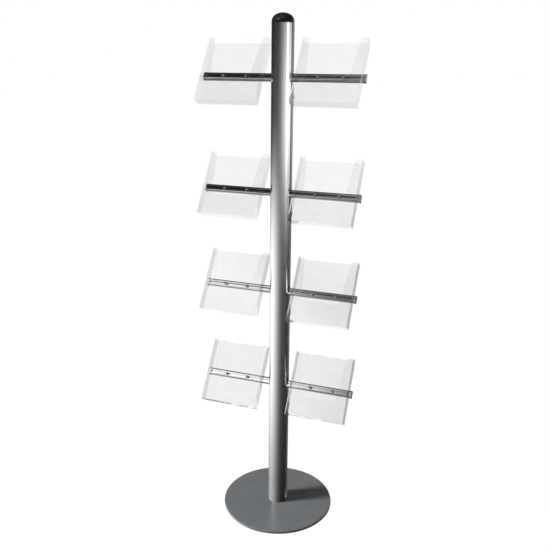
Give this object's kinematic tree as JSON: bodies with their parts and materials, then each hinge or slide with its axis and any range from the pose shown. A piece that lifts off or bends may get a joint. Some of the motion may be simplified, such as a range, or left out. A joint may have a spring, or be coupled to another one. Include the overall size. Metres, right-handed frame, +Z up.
{
  "type": "brochure rack",
  "caption": "Free-standing column on a round base with clear brochure pockets in pairs on bars either side, each bar sliding in a slot and tilting.",
  "frame": {"origin": "centre of the underside of the base pads, on the floor", "axes": "+Z up along the column, +X along the right-hand bars, -Y towards the reader at the pockets' open front"},
  "size_m": [0.5688, 0.424, 1.83],
  "materials": {
    "base_paint": "satin",
    "pad_rubber": "matt",
    "fixing_steel": "bright",
    "column_metal": "satin anodised",
    "plug_metal": "as cut",
    "cap_plastic": "polished",
    "arm_metal": "satin anodised",
    "tip_metal": "polished",
    "clear_acrylic": "clear, polished"
  },
  "bodies": {
    "stand": {"base_plate": "base_paint", "base_pads": "pad_rubber", "base_bolt": "fixing_steel", "column_tube": "column_metal", "foot_plug": "plug_metal", "top_cap": "cap_plastic"},
    "carriage_1_right": {"slide_nut_1_right": "fixing_steel", "tie_rod_1_right": "fixing_steel"},
    "holder_1_right": {"arm_1_right": "arm_metal", "arm_tip_1_right": "tip_metal", "pocket_1_right": "clear_acrylic", "pocket_fixings_1_right": "fixing_steel"},
    "carriage_1_left": {"slide_nut_1_left": "fixing_steel", "tie_rod_1_left": "fixing_steel"},
    "holder_1_left": {"arm_1_left": "arm_metal", "arm_tip_1_left": "tip_metal", "pocket_1_left": "clear_acrylic", "pocket_fixings_1_left": "fixing_steel"},
    "carriage_2_right": {"slide_nut_2_right": "fixing_steel", "tie_rod_2_right": "fixing_steel"},
    "holder_2_right": {"arm_2_right": "arm_metal", "arm_tip_2_right": "tip_metal", "pocket_2_right": "clear_acrylic", "pocket_fixings_2_right": "fixing_steel"},
    "carriage_2_left": {"slide_nut_2_left": "fixing_steel", "tie_rod_2_left": "fixing_steel"},
    "holder_2_left": {"arm_2_left": "arm_metal", "arm_tip_2_left": "tip_metal", "pocket_2_left": "clear_acrylic", "pocket_fixings_2_left": "fixing_steel"},
    "carriage_3_right": {"slide_nut_3_right": "fixing_steel", "tie_rod_3_right": "fixing_steel"},
    "holder_3_right": {"arm_3_right": "arm_metal", "arm_tip_3_right": "tip_metal", "pocket_3_right": "clear_acrylic", "pocket_fixings_3_right": "fixing_steel"},
    "carriage_3_left": {"slide_nut_3_left": "fixing_steel", "tie_rod_3_left": "fixing_steel"},
    "holder_3_left": {"arm_3_left": "arm_metal", "arm_tip_3_left": "tip_metal", "pocket_3_left": "clear_acrylic", "pocket_fixings_3_left": "fixing_steel"},
    "carriage_4_right": {"slide_nut_4_right": "fixing_steel", "tie_rod_4_right": "fixing_steel"},
    "holder_4_right": {"arm_4_right": "arm_metal", "arm_tip_4_right": "tip_metal", "pocket_4_right": "clear_acrylic", "pocket_fixings_4_right": "fixing_steel"},
    "carriage_4_left": {"slide_nut_4_left": "fixing_steel", "tie_rod_4_left": "fixing_steel"},
    "holder_4_left": {"arm_4_left": "arm_metal", "arm_tip_4_left": "tip_metal", "pocket_4_left": "clear_acrylic", "pocket_fixings_4_left": "fixing_steel"}
  },
  "joints": [
    {"name": "height_1_right", "type": "slide", "parent": "stand", "child": "carriage_1_right", "axis": [0, 0, 1], "range_m": [-0.05, 0.15]},
    {"name": "tilt_1_right", "type": "hinge", "parent": "carriage_1_right", "child": "holder_1_right", "pos_m": [0.168, 0, 1.626], "axis": [1, 0, 0], "range_deg": [-15, 34.5]},
    {"name": "height_1_left", "type": "slide", "parent": "stand", "child": "carriage_1_left", "axis": [0, 0, 1], "range_m": [-0.05, 0.15]},
    {"name": "tilt_1_left", "type": "hinge", "parent": "carriage_1_left", "child": "holder_1_left", "pos_m": [-0.168, 0, 1.626], "axis": [1, 0, 0], "range_deg": [-15, 34.5]},
    {"name": "height_2_right", "type": "slide", "parent": "stand", "child": "carriage_2_right", "axis": [0, 0, 1], "range_m": [-0.05, 0.05]},
    {"name": "tilt_2_right", "type": "hinge", "parent": "carriage_2_right", "child": "holder_2_right", "pos_m": [0.168, 0, 1.241], "axis": [1, 0, 0], "range_deg": [-15, 34.5]},
    {"name": "height_2_left", "type": "slide", "parent": "stand", "child": "carriage_2_left", "axis": [0, 0, 1], "range_m": [-0.05, 0.05]},
    {"name": "tilt_2_left", "type": "hinge", "parent": "carriage_2_left", "child": "holder_2_left", "pos_m": [-0.168, 0, 1.241], "axis": [1, 0, 0], "range_deg": [-15, 34.5]},
    {"name": "height_3_right", "type": "slide", "parent": "stand", "child": "carriage_3_right", "axis": [0, 0, 1], "range_m": [-0.05, 0.05]},
    {"name": "tilt_3_right", "type": "hinge", "parent": "carriage_3_right", "child": "holder_3_right", "pos_m": [0.168, 0, 0.884], "axis": [1, 0, 0], "range_deg": [-15, 34.5]},
    {"name": "height_3_left", "type": "slide", "parent": "stand", "child": "carriage_3_left", "axis": [0, 0, 1], "range_m": [-0.05, 0.05]},
    {"name": "tilt_3_left", "type": "hinge", "parent": "carriage_3_left", "child": "holder_3_left", "pos_m": [-0.168, 0, 0.884], "axis": [1, 0, 0], "range_deg": [-15, 34.5]},
    {"name": "height_4_right", "type": "slide", "parent": "stand", "child": "carriage_4_right", "axis": [0, 0, 1], "range_m": [-0.35, 0.05]},
    {"name": "tilt_4_right", "type": "hinge", "parent": "carriage_4_right", "child": "holder_4_right", "pos_m": [0.168, 0, 0.517], "axis": [1, 0, 0], "range_deg": [-15, 34.5]},
    {"name": "height_4_left", "type": "slide", "parent": "stand", "child": "carriage_4_left", "axis": [0, 0, 1], "range_m": [-0.35, 0.05]},
    {"name": "tilt_4_left", "type": "hinge", "parent": "carriage_4_left", "child": "holder_4_left", "pos_m": [-0.168, 0, 0.517], "axis": [1, 0, 0], "range_deg": [-15, 34.5]}
  ]
}
